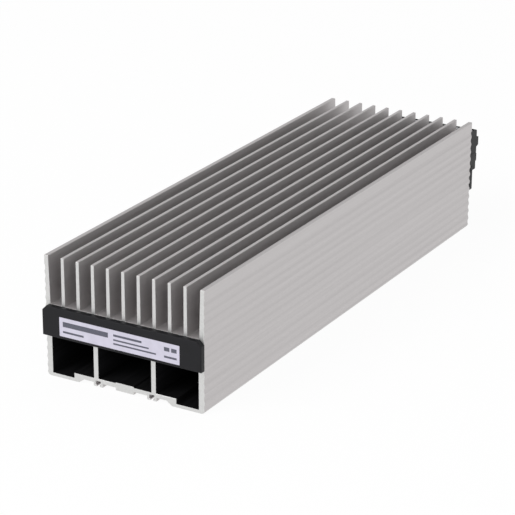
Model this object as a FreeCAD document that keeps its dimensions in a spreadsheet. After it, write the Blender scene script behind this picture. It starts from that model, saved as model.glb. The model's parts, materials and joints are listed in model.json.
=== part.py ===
import FreeCAD, Part
import math
import os
import re

import Sketcher
from FreeCAD import Placement, Rotation, Vector

# Enclosure heater: a finned aluminium extrusion with three convection ducts,
# a heating cartridge pressed into a slot between ducts and fins, moulded end
# caps and a pluggable three-pole terminal at the rear end. Millimetres.
# X runs across the fins, +Y to the terminal end and +Z up the fins. The
# origin is the middle of the underside of the whole part.

# Driving sizes
SIZES = {
    # Extrusion, outside
    "profile_width": 90.0,
    "profile_height": 63.0,
    "profile_length": 290.0,
    "foot_corner_radius": 2.2,
    "flute_pitch": 4.435,
    "flute_radius": 3.8,
    "flute_depth": 0.4,
    "lowest_flute_height": 3.35,
    # Extrusion, fins
    "fin_pitch": 8.62,
    "fin_tip_thickness": 1.75,
    "fin_root_thickness": 2.05,
    "wall_tip_thickness": 2.3,
    "wall_root_thickness": 3.0,
    "fin_base_thickness": 2.9,
    # Extrusion, ducts and chamber
    "duct_top": 22.5,
    "deck_thickness": 2.5,
    "chamber_height": 10.2,
    "side_wall_thickness": 3.4,
    "partition_thickness": 2.6,
    "slot_side_wall": 2.9,
    # Extrusion, underside
    "outer_floor_thickness": 1.9,
    "raised_floor_thickness": 2.35,
    "floor_step_offset": 2.55,
    "recess_depth": 2.2,
    "recess_half_width": 23.6,
    "recess_bevel": 3.1,
    "strip_width": 10.4,
    "strip_rise": 0.55,
    "strip_lift": 0.8,
    "foot_width": 5.4,
    "foot_inset": 1.1,
    "foot_lift": 0.3,
    "groove_mouth": 1.4,
    "groove_width": 2.8,
    "groove_lip": 0.9,
    "groove_height": 2.0,
    "rail_hole_radius": 2.1,
    "rail_hole_spacing": 40.0,
    # Extrusion, screw ports
    "port_radius": 3.3,
    "port_axis_rise": 3.8,
    "port_slit": 1.2,
    "earth_recess_depth": 6.0,
    # End caps
    "cap_thickness": 3.2,
    "cap_corner": 2.4,
    "cap_edge_radius": 0.6,
    "spigot_gap": 1.15,
    "spigot_length": 10.0,
    "spigot_wall": 1.3,
    "spigot_clearance": 0.15,
    "back_plate_thickness": 2.0,
    "back_plate_drop": 1.0,
    # Rating label
    "label_width": 68.0,
    "label_height": 9.8,
    "label_thickness": 0.2,
    "label_shift": -0.75,
    "label_rise": 1.6,
    # Heating cartridge
    "stone_thickness": 2.4,
    "stone_width": 22.0,
    "stone_length": 34.0,
    "stone_end_margin": 7.25,
    "strip_thickness": 1.1,
    "strip_margin": 1.0,
    "film_thickness": 0.2,
    "film_margin": 0.05,
    "frame_margin": 1.0,
    "frame_end": 5.0,
    "frame_clearance": 0.1,
    "slot_side_room": 1.5,
    "cartridge_front_gap": 10.0,
    "cartridge_rear_gap": 24.0,
    "film_overhang": 1.0,
    "tab_width": 4.0,
    "tab_length": 8.0,
    "seal_length": 7.0,
    "seal_clearance": 0.1,
    "lead_radius": 0.9,
    "lead_bend": 3.0,
    "live_tab_offset": 4.0,
    "neutral_tab_offset": 9.5,
    # Terminal block outside
    "block_inset": 2.0,
    "flange_width": 6.2,
    "pole_pitch": 12.2,
    "seat_gap": 0.05,
    "header_drop": 3.3,
    "header_height": 10.1,
    "header_setback": 0.5,
    "rim_proud": 1.1,
    "rim_height": 4.0,
    "rim_bevel": 0.6,
    "header_wall": 0.8,
    "lead_cavity_height": 4.3,
    "header_rear_wall": 1.35,
    "hook_width": 1.6,
    "hook_barb": 0.7,
    "hook_tip": 1.2,
    "hook_clearance": 0.15,
    "plug_roof": 2.4,
    "plug_bevel": 0.7,
    "hood_proud": 2.4,
    "hood_height": 6.4,
    "hood_taper": 0.8,
    "plug_rear_wall": 1.1,
    # Terminal contacts
    "pin_thickness": 0.8,
    "pin_width": 4.0,
    "pin_height": 13.5,
    "pin_setback": 1.4,
    "pin_clearance": 0.05,
    "leaf_thickness": 0.6,
    "tongue_thickness": 0.8,
    "fork_width": 4.6,
    "cage_width": 7.4,
    "cage_depth": 3.9,
    "cage_wall": 1.2,
    "cage_top": 1.4,
    "cage_floor": 1.2,
    "cage_lift": 3.0,
    "fork_gap": 0.5,
    "tongue_play": 0.6,
    "wire_opening": 3.8,
    "cage_clearance": 0.2,
    "entry_width": 4.8,
    "entry_height": 3.6,
    "funnel_width": 6.2,
    "funnel_height": 4.2,
    "funnel_depth": 1.0,
    # Earth connection
    "strap_width": 6.0,
    "strap_thickness": 0.8,
    "washer_thickness": 0.8,
    "washer_size": 6.4,
    # Screws
    "thread_clearance": 0.05,
    "earth_screw_radius": 1.6,
    "earth_screw_length": 11.6,
    "earth_head_radius": 3.1,
    "earth_head_height": 2.3,
    "cap_screw_radius": 1.4,
    "cap_screw_length": 12.0,
    "cap_head_radius": 2.8,
    "cap_head_height": 1.7,
    "clamp_screw_radius": 1.45,
    "clamp_head_radius": 2.3,
    "clamp_head_height": 1.9,
    "clamp_head_gap": 0.3,
    "access_radius": 2.5,
    "small_screw_radius": 1.25,
    "small_head_radius": 2.2,
    "small_head_height": 1.6,
    "head_recess": 0.6,
    "flange_thread_reach": 3.4,
    "screw_end_gap": 0.5,
}

# Sizes worked out from the driving ones
DERIVED = {
    "half_width": "profile_width / 2",
    "deck_top": "duct_top + deck_thickness",
    "chamber_top": "deck_top + chamber_height",
    "fin_root": "chamber_top + fin_base_thickness",
    "contact_strip_width": "stone_width + 2 * strip_margin",
    "frame_width": "contact_strip_width + 2 * frame_margin",
    "slot_width": "frame_width + 2 * (frame_clearance + film_thickness + slot_side_room)",
    "slot_height": "2 * (strip_thickness + film_thickness + film_margin) + stone_thickness",
    "slot_floor": "chamber_top - slot_height",
    "partition_outer": "slot_width / 2 + slot_side_wall",
    "partition_inner": "partition_outer - partition_thickness",
    "cell_outer": "half_width - side_wall_thickness",
    "raised_floor_top": "recess_depth + raised_floor_thickness",
    "recess_mouth": "recess_half_width + recess_bevel",
    "raised_floor_side": "recess_mouth + floor_step_offset",
    "foot_offset": "(partition_inner + partition_outer) / 2 - foot_inset",
    "port_height": "deck_top + port_axis_rise",
    "cap_port_offset": "cell_outer - port_radius",
    "block_width": "3 * pole_pitch + 2 * flange_width",
    "block_right": "half_width - block_inset",
    "block_left": "block_right - block_width",
    "window_left": "block_left + flange_width",
    "window_right": "block_right - flange_width",
    "block_middle": "block_right - block_width / 2",
    "flange_left": "block_left + flange_width / 2",
    "flange_right": "block_right - flange_width / 2",
    "earth_x": "block_middle + pole_pitch",
    "pin_reach": "cap_thickness + seat_gap + pin_setback",
    "fork_half": "pin_thickness / 2 + pin_clearance",
    "cage_reach": "pin_reach + fork_half + leaf_thickness + fork_gap + cage_depth",
    "plug_depth": "cage_reach + cage_clearance + plug_rear_wall",
    "header_depth": "plug_depth - header_setback",
    "overall_length": "label_thickness + cap_thickness + profile_length + plug_depth + hood_proud",
    "front_y": "label_thickness + cap_thickness - overall_length / 2",
    "rear_y": "front_y + profile_length",
    "header_front": "rear_y + cap_thickness + seat_gap",
    "plug_front": "rear_y + back_plate_thickness + seat_gap",
    "pin_y": "rear_y + pin_reach",
    "cage_rear": "rear_y + cage_reach",
    "screw_y": "cage_rear - cage_depth / 2",
    "cell_front": "pin_y - fork_half - leaf_thickness - cage_clearance",
    "header_bottom": "chamber_top - header_drop",
    "header_top": "header_bottom + header_height",
    "cavity_floor": "header_bottom + header_wall",
    "cavity_top": "cavity_floor + lead_cavity_height",
    "pin_bottom": "cavity_floor + 2 * lead_radius - strap_thickness / 2",
    "cage_bottom": "header_top + cage_lift",
    "cage_inner_floor": "cage_bottom + cage_floor",
    "tongue_bottom": "cage_inner_floor + wire_opening",
    "tongue_top": "tongue_bottom + tongue_thickness",
    "entry_middle": "(cage_inner_floor + tongue_bottom) / 2",
    "cage_inner_top": "tongue_top + tongue_play",
    "cage_outer_top": "cage_inner_top + cage_top",
    "cell_top": "cage_outer_top + cage_clearance",
    "plug_top": "cell_top + plug_roof",
    "hood_bottom": "entry_middle - hood_height / 2",
    "small_screw_seat": "plug_top - small_head_height - head_recess",
    "flange_screw_length": "small_screw_seat - header_top + flange_thread_reach",
    "film_floor": "slot_floor + film_margin",
    "lower_strip_floor": "film_floor + film_thickness",
    "stone_floor": "lower_strip_floor + strip_thickness",
    "upper_strip_floor": "stone_floor + stone_thickness",
    "cartridge_front": "front_y + cartridge_front_gap",
    "cartridge_rear": "rear_y - cartridge_rear_gap",
    "cartridge_length": "cartridge_rear - cartridge_front",
    "cartridge_middle": "(cartridge_front + cartridge_rear) / 2",
    "tab_end": "cartridge_rear + tab_length",
    "live_height": "upper_strip_floor - lead_radius",
    "neutral_height": "stone_floor + lead_radius",
}

# Fins inside the two outer walls, heating stones and poles from left to right
INNER_FINS = 9
STONES = 6
POLES = ("live", "neutral", "earth")

# Screw drives: reach and half width as shares of the head's radius, depth as a share of its height
CROSS_REACH = 0.55
SLOT_REACH = 1.1
DRIVE_HALF_WIDTH = 0.15
DRIVE_DEPTH = 0.6

doc = FreeCAD.newDocument("enclosure_heater")
sheet = doc.addObject("Spreadsheet::Sheet", "sizes")
nodes = []


def fill_sheet():
    """Write the driving sizes as plain numbers and the derived ones as formulas."""
    rows = [(alias, str(number)) for alias, number in SIZES.items()]
    rows += [(alias, "=" + formula) for alias, formula in DERIVED.items()]
    for row, (alias, content) in enumerate(rows, start=1):
        sheet.set("A%d" % row, alias)
        sheet.set("B%d" % row, content)
        sheet.setAlias("B%d" % row, alias)
    doc.recompute()


def in_sheet(formula):
    """The formula with each alias read from the sheet."""
    return re.sub(r"\b([a-z]+(?:_[a-z]+)+)\b", r"sizes.\1", str(formula))


def number(formula):
    """The present value of a formula."""
    value = sheet.evalExpression(str(formula))
    return float(getattr(value, "Value", value))


def bind(thing, path, formula):
    """Tie a property to the sheet."""
    thing.setExpression(path, in_sheet(formula))


def body(name):
    """A part design body that becomes the node of that name."""
    made = doc.addObject("PartDesign::Body", name)
    made.Label = name
    nodes.append(made)
    return made


# Sign of each origin plane's normal along its own axis
NORMALS = {"XY_Plane": 1, "XZ_Plane": -1, "YZ_Plane": 1}
sketch_normals = {}


def sketch(owner, name, plane, position="0"):
    """Empty sketch on a plane of the body's origin, moved along that plane's axis."""
    made = owner.newObject("Sketcher::SketchObject", owner.Name + "_" + name)
    support = [item for item in owner.Origin.OriginFeatures if item.Role == plane][0]
    made.AttachmentSupport = [(support, "")]
    made.MapMode = "FlatFace"
    sign = "" if NORMALS[plane] > 0 else "-"
    bind(made, "AttachmentOffset.Base.z", "%s(%s)" % (sign, position))
    sketch_normals[made.Name] = NORMALS[plane]
    return made


def outline(drawn, corners):
    """Closed polygon through corners given as pairs of formulas."""
    first = drawn.GeometryCount
    count = len(corners)
    places = [Vector(number(across), number(up), 0) for across, up in corners]
    for index in range(count):
        drawn.addGeometry(Part.LineSegment(places[index], places[(index + 1) % count]), False)
    for index, (across, up) in enumerate(corners):
        follower = first + (index + 1) % count
        drawn.addConstraint(Sketcher.Constraint("Coincident", first + index, 2, follower, 1))
        place_now = places[index]
        for kind, formula, now in (("DistanceX", across, place_now.x), ("DistanceY", up, place_now.y)):
            made = drawn.addConstraint(Sketcher.Constraint(kind, first + index, 1, now))
            bind(drawn, "Constraints[%d]" % made, formula)


def rectangle(drawn, left, bottom, right, top):
    """Rectangle between two opposite corners."""
    outline(drawn, [(left, bottom), (right, bottom), (right, top), (left, top)])


def middle_out(drawn, across, up, width, height):
    """Rectangle around a centre."""
    rectangle(drawn, "%s - (%s) / 2" % (across, width), "%s - (%s) / 2" % (up, height),
              "%s + (%s) / 2" % (across, width), "%s + (%s) / 2" % (up, height))


def circle(drawn, across, up, radius):
    """Circle around a centre."""
    centre = Vector(number(across), number(up), 0)
    made = drawn.addGeometry(Part.Circle(centre, Vector(0, 0, 1), number(radius)), False)
    rules = (
        (Sketcher.Constraint("DistanceX", made, 3, centre.x), across),
        (Sketcher.Constraint("DistanceY", made, 3, centre.y), up),
        (Sketcher.Constraint("Radius", made, number(radius)), radius),
    )
    for rule, formula in rules:
        bind(drawn, "Constraints[%d]" % drawn.addConstraint(rule), formula)


def tombstone(drawn, across, bottom, axis, radius):
    """Boss outline: straight sides from the bottom up to an axis, and a round head."""
    middle, base, height, wide = (number(item) for item in (across, bottom, axis, radius))
    corners = [Vector(middle - wide, height, 0), Vector(middle - wide, base, 0),
               Vector(middle + wide, base, 0), Vector(middle + wide, height, 0)]
    formulas = [("%s - %s" % (across, radius), axis), ("%s - %s" % (across, radius), bottom),
                ("%s + %s" % (across, radius), bottom), ("%s + %s" % (across, radius), axis)]
    first = drawn.GeometryCount
    for start, end in zip(corners, corners[1:]):
        drawn.addGeometry(Part.LineSegment(start, end), False)
    head = Part.Circle(Vector(middle, height, 0), Vector(0, 0, 1), wide)
    arc = drawn.addGeometry(Part.ArcOfCircle(head, 0, math.pi), False)
    joints = ((first, 2, first + 1, 1), (first + 1, 2, first + 2, 1),
              (first + 2, 2, arc, 1), (arc, 2, first, 1))
    for joint in joints:
        drawn.addConstraint(Sketcher.Constraint("Coincident", *joint))
    ends = ((first, 1), (first + 1, 1), (first + 2, 1), (first + 2, 2))
    for (line, end), place, (fx, fy) in zip(ends, corners, formulas):
        for kind, formula, now in (("DistanceX", fx, place.x), ("DistanceY", fy, place.y)):
            made = drawn.addConstraint(Sketcher.Constraint(kind, line, end, now))
            bind(drawn, "Constraints[%d]" % made, formula)
    made = drawn.addConstraint(Sketcher.Constraint("DistanceY", arc, 3, height))
    bind(drawn, "Constraints[%d]" % made, axis)


def finish(feature):
    """Recompute a feature and stop if it or what it is made from failed."""
    doc.recompute()
    for item in [feature] + feature.OutList:
        if "Invalid" in item.State or "Error" in item.State:
            raise RuntimeError("%s failed: %s" % (item.Name, item.State))
    return feature


def pad(owner, name, drawn, length, towards):
    """Add material from the sketch, along its axis, towards plus or minus."""
    made = owner.newObject("PartDesign::Pad", owner.Name + "_" + name)
    made.Profile = drawn
    bind(made, "Length", length)
    made.Reversed = sketch_normals[drawn.Name] != towards
    return finish(made)


def pocket(owner, name, drawn, length, towards):
    """Take material from the sketch, along its axis, towards plus or minus."""
    before = owner.Shape.Volume
    made = owner.newObject("PartDesign::Pocket", owner.Name + "_" + name)
    made.Profile = drawn
    bind(made, "Length", length)
    made.Reversed = sketch_normals[drawn.Name] == towards
    finish(made)
    if owner.Shape.Volume > before - 1e-6:
        raise RuntimeError("%s cut nothing" % made.Name)
    return made


def mirror(owner, name, features):
    """Repeat features on the other side of the plane between left and right."""
    made = owner.newObject("PartDesign::Mirrored", owner.Name + "_" + name)
    made.Originals = features
    plane = [item for item in owner.Origin.OriginFeatures if item.Role == "YZ_Plane"][0]
    made.MirrorPlane = (plane, [""])
    owner.Tip = made
    return finish(made)


def row(owner, name, features, axis, spacing, count):
    """Repeat features along an axis of the body."""
    made = owner.newObject("PartDesign::LinearPattern", owner.Name + "_" + name)
    made.Originals = features
    line = [item for item in owner.Origin.OriginFeatures if item.Role == axis][0]
    made.Direction = (line, [""])
    made.Mode = "Spacing"
    bind(made, "Offset", spacing)
    made.Occurrences = count
    owner.Tip = made
    return finish(made)


def edges(owner, wanted):
    """Names of the body's edges whose corners and middle all pass a test."""
    found = []
    for index, edge in enumerate(owner.Shape.Edges, start=1):
        middle = edge.valueAt((edge.FirstParameter + edge.LastParameter) / 2)
        points = [vertex.Point for vertex in edge.Vertexes] + [middle]
        if all(wanted(point) for point in points):
            found.append("Edge%d" % index)
    if not found:
        raise RuntimeError("no edges found on " + owner.Name)
    return found


def round_edges(owner, name, wanted, radius):
    """Fillet the edges that pass a test."""
    base = (owner.Tip, edges(owner, wanted))
    made = owner.newObject("PartDesign::Fillet", owner.Name + "_" + name)
    made.Base = base
    bind(made, "Radius", radius)
    return finish(made)


def near(value, formula):
    """Whether a coordinate lies at the present value of a formula."""
    return abs(value - number(formula)) < 1e-4


def pole(index):
    """Middle of a pole of the terminal, across the block."""
    return "(block_middle + (%d) * pole_pitch)" % (index - 1)


def block(name, low, high):
    """Plain rectangular node between two corners given as formulas."""
    made = doc.addObject("Part::Box", name)
    made.Label = name
    for side, axis, start, end in zip(("Length", "Width", "Height"), "xyz", low, high):
        bind(made, side, "(%s) - (%s)" % (end, start))
        bind(made, "Placement.Base." + axis, start)
    nodes.append(made)
    return made


def place(owner, across, along, up, turn=0):
    """Put a body that was drawn about its own origin, turned about X by degrees."""
    owner.Placement = Placement(Vector(), Rotation(Vector(1, 0, 0), turn))
    for axis, formula in zip("xyz", (across, along, up)):
        bind(owner, "Placement.Base." + axis, formula)


def screw(name, radius, length, head_radius, head_height, recess):
    """Screw along Z with its head's seat at the origin and a slot, a cross or nothing in the head."""
    made = body(name)
    half = sketch(made, "half", "XZ_Plane")
    outline(half, [("0", head_height), (head_radius, head_height), (head_radius, "0"), (radius, "0"),
                   (radius, "-(%s)" % length), ("0", "-(%s)" % length)])
    turned = made.newObject("PartDesign::Revolution", name + "_turned")
    turned.Profile = half
    axis = [item for item in made.Origin.OriginFeatures if item.Role == "Z_Axis"][0]
    turned.ReferenceAxis = (axis, [""])
    finish(turned)
    if not recess:
        return made
    drive = sketch(made, "drive", "XY_Plane", head_height)
    reach = "%s * %s" % (head_radius, CROSS_REACH if recess == "cross" else SLOT_REACH)
    narrow = "%s * %s" % (head_radius, DRIVE_HALF_WIDTH)
    if recess == "cross":
        outline(drive, [(reach, "-" + narrow), (reach, narrow), (narrow, narrow), (narrow, reach),
                        ("-" + narrow, reach), ("-" + narrow, narrow), ("-(%s)" % reach, narrow),
                        ("-(%s)" % reach, "-" + narrow), ("-" + narrow, "-" + narrow),
                        ("-" + narrow, "-(%s)" % reach), (narrow, "-(%s)" % reach),
                        (narrow, "-" + narrow)])
    else:
        rectangle(drive, "-(%s)" % reach, "-" + narrow, reach, narrow)
    pocket(made, "recess", drive, "%s * %s" % (head_height, DRIVE_DEPTH), -1)
    return made


# The extrusion
def heatsink_profile():
    made = body("heatsink_profile")
    blank = sketch(made, "blank", "XZ_Plane", "front_y")
    rectangle(blank, "-half_width", "0", "half_width", "profile_height")
    pad(made, "bar", blank, "profile_length", 1)
    round_edges(made, "lower_corners",
                lambda point: near(point.z, "0") and near(abs(point.x), "half_width"),
                "foot_corner_radius")

    gap = sketch(made, "gap", "XZ_Plane", "front_y")
    middle = "-(%s) * fin_pitch" % (INNER_FINS / 2 - 1)
    root = "(fin_pitch - fin_root_thickness) / 2"
    tip = "(fin_pitch - fin_tip_thickness) / 2"
    outline(gap, [("%s - %s" % (middle, root), "fin_root"), ("%s + %s" % (middle, root), "fin_root"),
                  ("%s + %s" % (middle, tip), "profile_height"),
                  ("%s - %s" % (middle, tip), "profile_height")])
    inner = pocket(made, "gap_cut", gap, "profile_length", 1)
    row(made, "gaps", [inner], "X_Axis", "fin_pitch", INNER_FINS - 1)

    edge = sketch(made, "edge_gap", "XZ_Plane", "front_y")
    last = "%s * fin_pitch" % (INNER_FINS // 2)
    outline(edge, [("%s + fin_root_thickness / 2" % last, "fin_root"),
                   ("half_width - wall_root_thickness", "fin_root"),
                   ("half_width - wall_tip_thickness", "profile_height"),
                   ("%s + fin_tip_thickness / 2" % last, "profile_height")])
    side = pocket(made, "edge_gap_cut", edge, "profile_length", 1)
    mirror(made, "edge_gaps", [side])

    flute = sketch(made, "flute", "XZ_Plane", "front_y")
    circle(flute, "half_width + flute_radius - flute_depth", "lowest_flute_height", "flute_radius")
    groove = pocket(made, "flute_cut", flute, "profile_length", 1)
    flutes = int(number("(profile_height - lowest_flute_height) / flute_pitch"))
    row(made, "flutes", [groove], "Z_Axis", "flute_pitch", flutes)
    left = sketch(made, "left_flute", "XZ_Plane", "front_y")
    circle(left, "-(half_width + flute_radius - flute_depth)", "lowest_flute_height", "flute_radius")
    groove = pocket(made, "left_flute_cut", left, "profile_length", 1)
    row(made, "left_flutes", [groove], "Z_Axis", "flute_pitch", flutes)

    duct = sketch(made, "middle_duct", "XZ_Plane", "front_y")
    outline(duct, [("-partition_inner", "raised_floor_top"), ("-strip_width / 2", "raised_floor_top"),
                   ("-strip_width / 2", "raised_floor_top + strip_rise"),
                   ("strip_width / 2", "raised_floor_top + strip_rise"),
                   ("strip_width / 2", "raised_floor_top"), ("partition_inner", "raised_floor_top"),
                   ("partition_inner", "duct_top"), ("-partition_inner", "duct_top")])
    pocket(made, "middle_duct_cut", duct, "profile_length", 1)
    duct = sketch(made, "side_duct", "XZ_Plane", "front_y")
    outline(duct, [("partition_outer", "raised_floor_top"),
                   ("raised_floor_side", "raised_floor_top"),
                   ("raised_floor_side", "outer_floor_thickness"),
                   ("cell_outer", "outer_floor_thickness"), ("cell_outer", "duct_top"),
                   ("partition_outer", "duct_top")])
    side = pocket(made, "side_duct_cut", duct, "profile_length", 1)
    cell = sketch(made, "cell", "XZ_Plane", "front_y")
    rectangle(cell, "partition_outer", "deck_top", "cell_outer", "chamber_top")
    hollow = pocket(made, "cell_cut", cell, "profile_length", 1)
    mirror(made, "left_hollows", [side, hollow])
    slot = sketch(made, "slot", "XZ_Plane", "front_y")
    rectangle(slot, "-slot_width / 2", "slot_floor", "slot_width / 2", "chamber_top")
    pocket(made, "slot_cut", slot, "profile_length", 1)

    added = []
    for name, across, bore in (("cap", "cap_port_offset", "cap_screw_radius + thread_clearance"),
                               ("earth", "earth_x", "earth_screw_radius + thread_clearance")):
        boss = sketch(made, name + "_port", "XZ_Plane", "front_y")
        tombstone(boss, across, "deck_top", "port_height", "port_radius")
        added.append(pad(made, name + "_boss", boss, "profile_length", 1))
        hole = sketch(made, name + "_bore", "XZ_Plane", "front_y")
        circle(hole, across, "port_height", bore)
        added.append(pocket(made, name + "_bore_cut", hole, "profile_length", 1))
        slit = sketch(made, name + "_slit", "XZ_Plane", "front_y")
        rectangle(slit, "%s - port_slit / 2" % across, "port_height",
                  "%s + port_slit / 2" % across, "port_height + port_radius")
        added.append(pocket(made, name + "_slit_cut", slit, "profile_length", 1))
    mirror(made, "left_ports", added)

    under = sketch(made, "underside", "XZ_Plane", "front_y")
    foot_inner = "foot_offset - foot_width / 2"
    foot_outer = "foot_offset + foot_width / 2"
    outline(under, [("0", "0"), ("recess_mouth", "0"), ("recess_half_width", "recess_depth"),
                    (foot_outer, "recess_depth"), (foot_outer, "foot_lift"), (foot_inner, "foot_lift"),
                    (foot_inner, "recess_depth"), ("strip_width / 2", "recess_depth"),
                    ("strip_width / 2", "strip_lift"), ("0", "strip_lift")])
    recess = pocket(made, "underside_cut", under, "profile_length", 1)
    clip = sketch(made, "clip_groove", "XZ_Plane", "front_y")
    lip = "foot_lift + groove_lip"
    roof = "foot_lift + groove_lip + groove_height"
    outline(clip, [("foot_offset - groove_mouth / 2", "foot_lift"),
                   ("foot_offset + groove_mouth / 2", "foot_lift"),
                   ("foot_offset + groove_mouth / 2", lip), ("foot_offset + groove_width / 2", lip),
                   ("foot_offset + groove_width / 2", roof), ("foot_offset - groove_width / 2", roof),
                   ("foot_offset - groove_width / 2", lip), ("foot_offset - groove_mouth / 2", lip)])
    grooved = pocket(made, "clip_groove_cut", clip, "profile_length", 1)
    mirror(made, "left_underside", [recess, grooved])

    holes = sketch(made, "rail_holes", "XY_Plane")
    for sign in "-+":
        circle(holes, "0", "front_y + profile_length / 2 %s rail_hole_spacing / 2" % sign,
               "rail_hole_radius")
    pocket(made, "rail_hole_cut", holes, "raised_floor_top + 2 * strip_rise", 1)

    end = sketch(made, "earth_recess", "XZ_Plane", "rear_y")
    rectangle(end, "earth_x - port_radius", "deck_top", "earth_x + port_radius",
              "port_height + port_radius")
    pocket(made, "earth_recess_cut", end, "earth_recess_depth", -1)
    return made


# End caps
def cap_plate(name, face, towards):
    """Moulded plate over the chamber, with a hollow spigot for each side cell."""
    made = body(name)
    plate = sketch(made, "plate", "XZ_Plane", face)
    outline(plate, [("-half_width", "duct_top"), ("half_width", "duct_top"),
                    ("half_width", "fin_root - cap_corner"), ("half_width - cap_corner", "fin_root"),
                    ("cap_corner - half_width", "fin_root"), ("-half_width", "fin_root - cap_corner")])
    pad(made, "plate_pad", plate, "cap_thickness", towards)
    outer = "%s %s cap_thickness" % (face, "+" if towards > 0 else "-")
    round_edges(made, "edge_rounding", lambda point: near(point.y, outer), "cap_edge_radius")
    spigot = sketch(made, "spigot", "XZ_Plane", face)
    left = "partition_outer + spigot_clearance"
    right = "earth_x - port_radius - spigot_gap"
    low = "deck_top + spigot_clearance"
    high = "chamber_top - spigot_clearance"
    rectangle(spigot, left, low, right, high)
    solid = pad(made, "spigot_pad", spigot, "spigot_length", -towards)
    hollow = sketch(made, "spigot_hollow", "XZ_Plane", face)
    rectangle(hollow, "%s + spigot_wall" % left, "%s + spigot_wall" % low,
              "%s - spigot_wall" % right, "%s - spigot_wall" % high)
    cut = pocket(made, "spigot_cut", hollow, "spigot_length", -towards)
    mirror(made, "left_spigot", [solid, cut])
    return made


def front_end_cap():
    cap_plate("front_end_cap", "front_y", -1)


def rear_end_cap():
    made = cap_plate("rear_end_cap", "rear_y", 1)
    plate = sketch(made, "back_plate", "XZ_Plane", "rear_y")
    rectangle(plate, "block_left", "fin_root - cap_corner - cap_edge_radius", "block_right",
              "plug_top - back_plate_drop")
    pad(made, "back_plate_pad", plate, "back_plate_thickness", 1)
    window = sketch(made, "lead_window", "XZ_Plane", "rear_y")
    rectangle(window, "window_left", "cavity_floor", "window_right", "cavity_top")
    pocket(made, "lead_window_cut", window, "cap_thickness", 1)
    through = sketch(made, "cap_screw_holes", "XZ_Plane", "rear_y")
    seats = sketch(made, "cap_screw_seats", "XZ_Plane", "rear_y + cap_thickness")
    for sign in ("", "-"):
        circle(through, sign + "cap_port_offset", "port_height", "cap_screw_radius + 2 * thread_clearance")
        circle(seats, sign + "cap_port_offset", "port_height", "cap_head_radius + 2 * thread_clearance")
    pocket(made, "cap_screw_hole_cut", through, "cap_thickness", 1)
    pocket(made, "cap_screw_seat_cut", seats, "cap_head_height", -1)


def rating_label():
    low = "front_y - cap_thickness - label_thickness"
    bottom = "duct_top + label_rise"
    block("rating_label", ("label_shift - label_width / 2", low, bottom),
          ("label_shift + label_width / 2", "front_y - cap_thickness", "%s + label_height" % bottom))


# Heating cartridge in the slot
STONE_PITCH = "(cartridge_length - 2 * stone_end_margin - stone_length) / %d" % (STONES - 1)


def ptc_stones():
    for index in range(STONES):
        middle = "cartridge_middle + (%s) * %s" % (index - (STONES - 1) / 2, STONE_PITCH)
        block("ptc_stone_%d" % (index + 1),
              ("-stone_width / 2", "%s - stone_length / 2" % middle, "stone_floor"),
              ("stone_width / 2", "%s + stone_length / 2" % middle, "stone_floor + stone_thickness"))


def stone_frame():
    made = body("stone_frame")
    ladder = sketch(made, "ladder", "XY_Plane", "stone_floor + frame_clearance")
    reach = "(cartridge_length / 2 - stone_end_margin + frame_end)"
    rectangle(ladder, "-frame_width / 2", "cartridge_middle - %s" % reach, "frame_width / 2",
              "cartridge_middle + %s" % reach)
    pad(made, "ladder_pad", ladder, "stone_thickness - 2 * frame_clearance", 1)
    window = sketch(made, "window", "XY_Plane", "stone_floor + frame_clearance")
    middle_out(window, "0", "cartridge_front + stone_end_margin + stone_length / 2",
               "stone_width + 2 * frame_clearance", "stone_length + 2 * frame_clearance")
    cut = pocket(made, "window_cut", window, "stone_thickness - 2 * frame_clearance", 1)
    row(made, "windows", [cut], "Y_Axis", STONE_PITCH, STONES)


def contact_strip(name, floor, tab):
    made = body(name)
    strip = sketch(made, "strip", "XY_Plane", floor)
    half = "contact_strip_width / 2"
    outline(strip, [("-" + half, "cartridge_front"), (half, "cartridge_front"), (half, "cartridge_rear"),
                    ("%s + tab_width / 2" % tab, "cartridge_rear"), ("%s + tab_width / 2" % tab, "tab_end"),
                    ("%s - tab_width / 2" % tab, "tab_end"), ("%s - tab_width / 2" % tab, "cartridge_rear"),
                    ("-" + half, "cartridge_rear")])
    pad(made, "strip_pad", strip, "strip_thickness", 1)


def insulating_sleeve():
    made = body("insulating_sleeve")
    wrap = sketch(made, "wrap", "XZ_Plane", "cartridge_front - film_overhang")
    half = "frame_width / 2 + frame_clearance"
    rectangle(wrap, "-(%s + film_thickness)" % half, "film_floor", "%s + film_thickness" % half,
              "chamber_top - film_margin")
    pad(made, "wrap_pad", wrap, "cartridge_length + 2 * film_overhang", 1)
    inside = sketch(made, "inside", "XZ_Plane", "cartridge_front - film_overhang")
    rectangle(inside, "-(%s)" % half, "lower_strip_floor", half,
              "chamber_top - film_margin - film_thickness")
    pocket(made, "inside_cut", inside, "cartridge_length + 2 * film_overhang", 1)


def slot_seal(name, start):
    """Silicone plug with two sealing ribs that closes an end of the slot."""
    made = body(name)
    half = "slot_width / 2 - 2 * seal_clearance"
    core = sketch(made, "core", "XZ_Plane", start)
    rectangle(core, "-(%s)" % half, "slot_floor + 2 * seal_clearance", half,
              "chamber_top - 2 * seal_clearance")
    pad(made, "core_pad", core, "seal_length", 1)
    rib = sketch(made, "rib", "XZ_Plane", "%s + seal_length / 5" % start)
    half = "slot_width / 2 - seal_clearance / 2"
    rectangle(rib, "-(%s)" % half, "slot_floor + seal_clearance / 2", half,
              "chamber_top - seal_clearance / 2")
    added = pad(made, "rib_pad", rib, "seal_length / 5", 1)
    row(made, "ribs", [added], "Y_Axis", "seal_length * 2 / 5", 2)
    return made


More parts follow.
